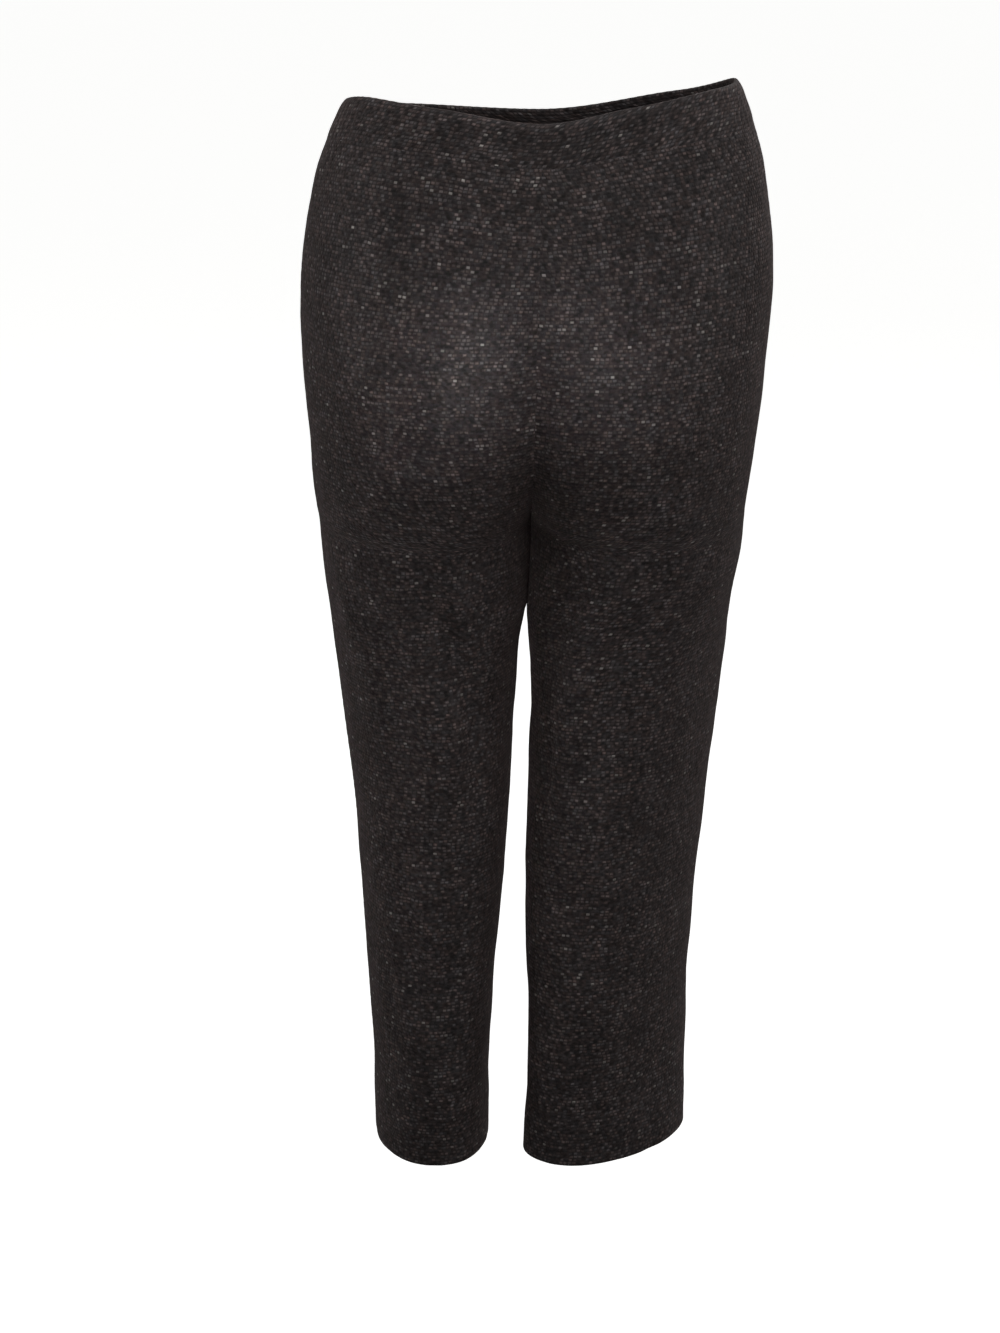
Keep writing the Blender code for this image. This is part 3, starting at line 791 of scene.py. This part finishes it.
polyester = bpy.data.materials.new("spun_polyester_thread")
polyester.use_nodes = True
thread_tree = polyester.node_tree
thread_shader = thread_tree.nodes["Principled BSDF"]
thread_uv = add(thread_tree, "UVMap", uv_map="cloth")
along_thread, round_thread, _ = add(thread_tree, "SeparateXYZ", (thread_uv,)).outputs
plies = add(
    thread_tree, "Math", (along_thread, 2 * math.pi / PLY_TWIST, round_thread), operation="MULTIPLY_ADD"
)
ply_wave = add(thread_tree, "Math", (plies,), operation="SINE")
# The thread's colour is painted darker in the grooves between the plies and lighter on them, as shade and
# light.
ply_painted_shading = add(thread_tree, "MapRange", {"Value": ply_wave, "From Min": -1.0})
ply_colour_with_painted_shading = add(
    thread_tree, "Mix", {"Factor": ply_painted_shading, "A": linear(PLY_PAINTED_SHADE), "B": linear(PLY_PAINTED_LIGHT)},
    data_type="RGBA",
)
thread_tree.links.new(ply_colour_with_painted_shading.outputs["Result"], thread_shader.inputs["Base Color"])
thread_shader.inputs["Roughness"].default_value = 0.55
ply_bump = add(thread_tree, "Bump", {"Height": ply_wave, "Strength": 0.5, "Distance": 0.0001})
thread_tree.links.new(ply_bump.outputs[0], thread_shader.inputs["Normal"])


def thread_piece(name, path, across):
    """A round thread along a path, where across is never in line with it."""
    ahead = unit(np.gradient(path, axis=0))
    first = unit(across - ahead * np.sum(across * ahead, axis=1, keepdims=True))
    second = np.cross(ahead, first)
    turn = np.linspace(0, 2 * math.pi, THREAD_SIDES + 1)[:-1, None]
    rings = path[:, None] + THREAD * (first[:, None] * np.cos(turn) + second[:, None] * np.sin(turn))
    index = np.arange(len(path) * THREAD_SIDES).reshape(len(path), THREAD_SIDES)
    after = np.roll(index, -1, axis=1)
    quads = np.stack([index[:-1], after[:-1], after[1:], index[1:]], axis=-1).reshape(-1, 4)
    ends = [index[0][::-1].tolist(), index[-1].tolist()]
    mesh = bpy.data.meshes.new(name)
    mesh.from_pydata(rings.reshape(-1, 3).tolist(), [], quads.tolist() + ends)
    layer = mesh.uv_layers.new(name="cloth")
    length = lengths_along(path, 0)
    at = np.stack(np.broadcast_arrays(length[:, None], turn.T), axis=-1).reshape(-1, 2)
    corners = np.concatenate([quads.ravel(), *ends])
    layer.data.foreach_set("uv", at[corners].ravel())
    mesh.materials.append(polyester)
    mesh.shade_smooth()
    piece = bpy.data.objects.new(name, mesh)
    scene.collection.objects.link(piece)
    return piece


def overlock(name, edge, into, out, thickness):
    """Thread wrapped over a raw edge, given by its middle line and two directions along it."""
    length = lengths_along(edge, 0)
    face = thickness / 2 + THREAD
    # One stitch: in at the face, over the edge, in at the back, and over the edge again.
    wrap = np.array([
        (BITE, face), (-THREAD, face), (-THREAD, -face),
        (BITE, -face), (-THREAD, -face), (-THREAD, face),
    ])
    count = round(length[-1] / STITCH) * len(wrap)
    at = np.linspace(0, length[-1], count)
    edge, into, out = (
        np.column_stack([np.interp(at, length, values[:, k]) for k in range(3)])
        for values in (edge, into, out)
    )
    inwards, outwards = np.tile(wrap, (count // len(wrap), 1)).T
    path = edge + into * inwards[:, None] + out * outwards[:, None]
    return thread_piece(name, path, unit(np.gradient(edge, axis=0)))


for name, (on, edge, into, out) in raw_edges.items():
    thread = overlock(name + "_overlock", edge, into, out, ALLOWANCE_THICKNESS)
    thread.parent = panels[on]

# A hem's raw edge runs round the leg, across the back panel and back across the front one.
raw_row = -1 - round(HEM_DEPTH / ROW_SPACING)
for leg, side in (("left", LEFT), ("right", RIGHT)):
    back, front = finished["back_" + leg], finished["front_" + leg]
    back_out = normals_of(back, -side * BACK)[raw_row, ROLL_STEPS:-ROLL_STEPS]
    front_out = normals_of(front, -side * FRONT)[raw_row, ROLL_STEPS:-ROLL_STEPS][::-1]
    out = np.concatenate([back_out, front_out])
    round_leg = [
        np.concatenate([back[row, ROLL_STEPS:-ROLL_STEPS], front[row, ROLL_STEPS:-ROLL_STEPS][::-1]])
        for row in (raw_row, raw_row + 2)
    ]
    edge = round_leg[0] - out * (2 * HEM_FOLD - CLOTH_THICKNESS / 2)
    thread = overlock("hem_overlock_" + leg, edge, unit(round_leg[1] - round_leg[0]), out, CLOTH_THICKNESS)
    thread.parent = panels["back_" + leg]

# ---------------------------------------------------------------------------------------------
# Waistband: a casing of the same knit, folded over a flat elastic and sewn to the panels, so its
# top edge is rounded and its face is lightly gathered. Inside, its raw edge hangs just below the
# seam.
BAND_ROW_SPACING = 0.0016
BAND_COLUMNS = 560
OUTER_TOP, INNER_TOP = 2, 6  # the solid's rings on either side of its top edge
BAND_TOP_ROWS = 9  # rows round the fold over the elastic
BAND_TAIL = 0.004  # how far the inner layer hangs below the seam
TAIL_STEPS = 3
BAND_GATHER = 0.0083
# How its gathers stray: by so many radians, in so many waves round the waist, from this phase.
BAND_STRAYING = ((1.6, 5, 0.6), (1.1, 13, 2.0))
GATHERED_LEAST = 0.00008  # the gathers' height at the seams and over the top
GATHERED_FACE, GATHERED_INSIDE = 0.00022, 0.0003  # and what is added between these
SUNK_AT_SEAM = 0.0007  # the seam pulls the casing flush with the panels
SUNK_REACH = 0.005
WRAP = 6  # columns repeated past each end of the ring, so that it closes smoothly


def band_points(node):
    """Rings of a band from its outer lower edge, over the top, to its inner lower edge."""
    solid = welded(node)
    outermost = max(solid.faces, key=lambda f: f.calc_center_median().x + SEAM_ROLL * f.normal.x)
    patch = smooth_patch(outermost)
    beside = rim_of(patch)
    start = max(beside, key=lambda v: v.co.x)
    towards = max(beside[start], key=lambda v: v.co.y)
    ring = rim_walk(beside, start, towards, start)[:-1]
    near = neighbours_in(patch)
    rings, seen = [ring], set(ring)
    while len(seen) < len(near):
        above = rings[-1]
        fresh = [v for v in near[above[0]] if v not in seen]
        under = min(fresh, key=lambda v: (v.co - above[0].co).length)
        rings.append(row_below(above, under, near, seen))
    points = points_of(rings)
    solid.free()
    return points


def closed_columns(rings, count):
    """Rings again with more columns, closed smoothly, the last column on the first."""
    wrapped = np.concatenate([rings[:, -WRAP:], rings, rings[:, :WRAP + 1]], axis=1)
    along = lengths_along(wrapped, 1).mean(axis=0)
    at = np.linspace(along[WRAP], along[WRAP + rings.shape[1]], count + 1)
    return hermite(wrapped.swapaxes(0, 1), along, at).swapaxes(0, 1)


band_rings = band_points("waistband")
over_band = lengths_along(band_rings, 0).mean(axis=1)
outer_top, inner_top = over_band[OUTER_TOP], over_band[INNER_TOP]
outer_rows = round((outer_top - SEAM_ROLL) / BAND_ROW_SPACING)
inner_rows = round((over_band[-1] - inner_top) / BAND_ROW_SPACING)
band_at = np.concatenate([
    ROLL_AWAY[:-1],
    np.linspace(SEAM_ROLL, outer_top, outer_rows)[:-1],
    np.linspace(outer_top, inner_top, BAND_TOP_ROWS)[:-1],
    np.linspace(inner_top, over_band[-1], inner_rows),
])
band_rows = closed_columns(hermite(band_rings, over_band, band_at), BAND_COLUMNS)
hanging = unit(band_rows[-1] - band_rows[-3])
tail_at = np.linspace(0, BAND_TAIL, TAIL_STEPS + 1)[1:]
band_rows = np.concatenate([band_rows, band_rows[-1] + hanging * tail_at[:, None, None]])
band_at = np.concatenate([band_at, band_at[-1] + tail_at])
band_rows[0] += (SEAM_CLEARANCE - SEAM_LEFT_OPEN) * unit(band_rows[0] - band_rows[ROLL_STEPS])
around = lengths_along(band_rows, 1)
band_out = normals_of(band_rows, 1)
band_out[:, 0] = band_out[:, -1] = unit(band_out[:, 0] + band_out[:, -1])
band_stray = sum(
    reach * np.sin(around[:1] * 2 * math.pi * waves / around[0, -1] + phase)
    for reach, waves, phase in BAND_STRAYING
)
gathers_round = round(around[0, -1] / BAND_GATHER)
gather_wave = np.cos(around / around[:, -1:] * 2 * math.pi * gathers_round + band_stray)
on_face = np.clip(band_at / outer_top, 0, 1)[:, None]
inside_share = np.clip((band_at - inner_top) / (band_at[-1] - inner_top), 0, 1)[:, None]
gather_height = (
    GATHERED_LEAST + GATHERED_FACE * np.sin(math.pi * on_face)
    + GATHERED_INSIDE * np.sin(math.pi * inside_share)
)
band_lift = gather_wave * gather_height
band_lift -= SUNK_AT_SEAM * np.exp(-((band_at / SUNK_REACH) ** 2))[:, None]
band_grid = band_rows + band_out * band_lift[:, :, None]
band_grid[:, -1] = band_grid[:, 0]
band_uv = np.stack([around, np.broadcast_to(-band_at[:, None], around.shape)], axis=-1)
waistband = cloth_piece("knit_waistband", band_grid, band_uv, 1, CLOTH_THICKNESS, [knit_face, knit_back])
weld = waistband.modifiers.new("close", "WELD")
weld.merge_threshold = WELD
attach(waistband, "root")
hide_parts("waistband")

tail_edge = band_grid[-1] - band_out[-1] * CLOTH_THICKNESS / 2
tail_overlock = overlock("waistband_overlock", tail_edge, -hanging, band_out[-1], CLOTH_THICKNESS)
tail_overlock.parent = waistband

# ---------------------------------------------------------------------------------------------
# Studio: a plain white floor that runs out of sight in every direction. It glows a little, as a
# lit sweep does, and throws no light of its own on the dark cloth.
FLOOR_HEIGHT = -1.06  # below the wearer's feet
FLOOR_REACH = 30.0
FLOOR_WHITE = "f4f4f3"
FLOOR_GLOW = 0.85

floor_mesh = bpy.data.meshes.new("floor")
floor_corners = [(-1, -1), (1, -1), (1, 1), (-1, 1)]
floor_mesh.from_pydata(
    [(x * FLOOR_REACH, y * FLOOR_REACH, FLOOR_HEIGHT) for x, y in floor_corners],
    [], [(0, 1, 2, 3)],
)
floor = bpy.data.objects.new("floor", floor_mesh)
scene.collection.objects.link(floor)
paper = bpy.data.materials.new("matt_paper_sweep")
paper.use_nodes = True
paper_shader = paper.node_tree.nodes["Principled BSDF"]
paper_shader.inputs["Base Color"].default_value = linear(FLOOR_WHITE)
paper_shader.inputs["Roughness"].default_value = 0.9
paper_shader.inputs["Emission Color"].default_value = linear(FLOOR_WHITE)
paper_shader.inputs["Emission Strength"].default_value = FLOOR_GLOW
floor_mesh.materials.append(paper)
floor.visible_diffuse = False
floor.visible_glossy = False

# Light from the whole room, stronger from above. The room itself looks as pale as the floor.
ROOM_ABOVE, ROOM_BELOW = 0.24, 0.08
ROOM_HIGH, ROOM_LOW = 0.6, -0.4  # how far up a direction points at those two strengths
ROOM_SEEN = 1.0

world = bpy.data.worlds.new("studio")
world.use_nodes = True
sky = world.node_tree
background = sky.nodes["Background"]
background.inputs["Color"].default_value = (1, 1, 1, 1)
towards = add(sky, "SeparateXYZ", (add(sky, "TexCoord"),))
room = add(
    sky, "MapRange",
    {"Value": towards.outputs[2], "From Min": ROOM_LOW, "From Max": ROOM_HIGH,
     "To Min": ROOM_BELOW, "To Max": ROOM_ABOVE},
)
seen = add(sky, "LightPath")
strength = add(sky, "Mix", {"Factor": seen.outputs["Is Camera Ray"], "A": room, "B": ROOM_SEEN})
sky.links.new(strength.outputs[0], background.inputs["Strength"])
scene.world = world


def softbox(name, at, aim, size, power, spread=180):
    """A square soft light at a place, aimed at another. A grid can keep it to a narrow cone."""
    lamp = bpy.data.lights.new(name, "AREA")
    lamp.size = size
    lamp.energy = power
    lamp.spread = math.radians(spread)
    light = bpy.data.objects.new(name, lamp)
    light.location = at
    light.rotation_euler = (Vector(at) - Vector(aim)).to_track_quat("Z", "Y").to_euler()
    scene.collection.objects.link(light)


# Big soft boxes stand close above and beside the wearer, so the cloth darkens down the legs. One
# behind fills the shadow under the seat, two small ones with grids light only its fullest part, and
# one lights the front.
softbox("key", (-0.5, 1.25, 1.15), (0, 0, -0.25), 0.7, 5.0)
softbox("top", (0, 0.6, 1.3), (0, 0, -0.2), 0.8, 6.8)
softbox("side_left", (1.8, 0.35, 0.0), (0, 0, -0.50), 0.7, 4.2)
softbox("side_right", (-1.8, 0.35, 0.0), (0, 0, -0.50), 0.7, 3.2)
softbox("back_fill", (0.25, 2.2, 0.0), (0.06, 0.1, -0.40), 0.4, 0.16, spread=24)
softbox("seat_left", (0.09, 2.0, -0.30), (0.070, 0.14, -0.187), 0.10, 0.018, spread=5)
softbox("seat_right", (-0.05, 2.0, -0.30), (-0.060, 0.14, -0.187), 0.10, 0.011, spread=5)
softbox("front_fill", (-0.9, -1.8, 1.3), (0, 0, -0.4), 1.2, 10)

scene.view_settings.view_transform = "Standard"
